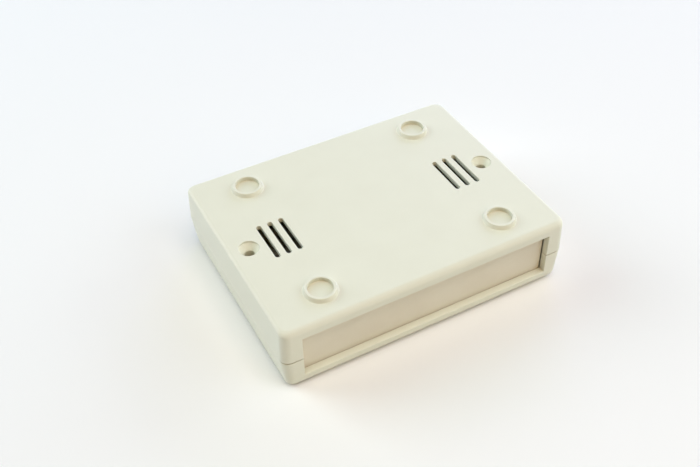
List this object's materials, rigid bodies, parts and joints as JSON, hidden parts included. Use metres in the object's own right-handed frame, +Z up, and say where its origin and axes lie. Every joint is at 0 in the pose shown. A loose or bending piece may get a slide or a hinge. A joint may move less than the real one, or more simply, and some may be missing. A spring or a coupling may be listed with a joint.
{
  "type": "instrument case",
  "caption": "Flat two-part plastic instrument case with vented underside, foot rings and plain end panels, lying on its cover.",
  "frame": {"origin": "middle of the case's outline on the surface it lies on, at the cover's outer face", "axes": "+Z up with the underside uppermost, +X along the front, and the pictured front faces -Y"},
  "size_m": [0.142, 0.108, 0.0364],
  "materials": {
    "shell": "fine matt ivory ABS",
    "panel": "fine matt warm beige ABS",
    "screw": "zinc plated"
  },
  "bodies": {
    "root": {"base_shell": "shell", "cover_shell": "shell", "front_panel": "panel", "rear_panel": "panel", "left_screw": "screw", "right_screw": "screw"}
  },
  "joints": []
}
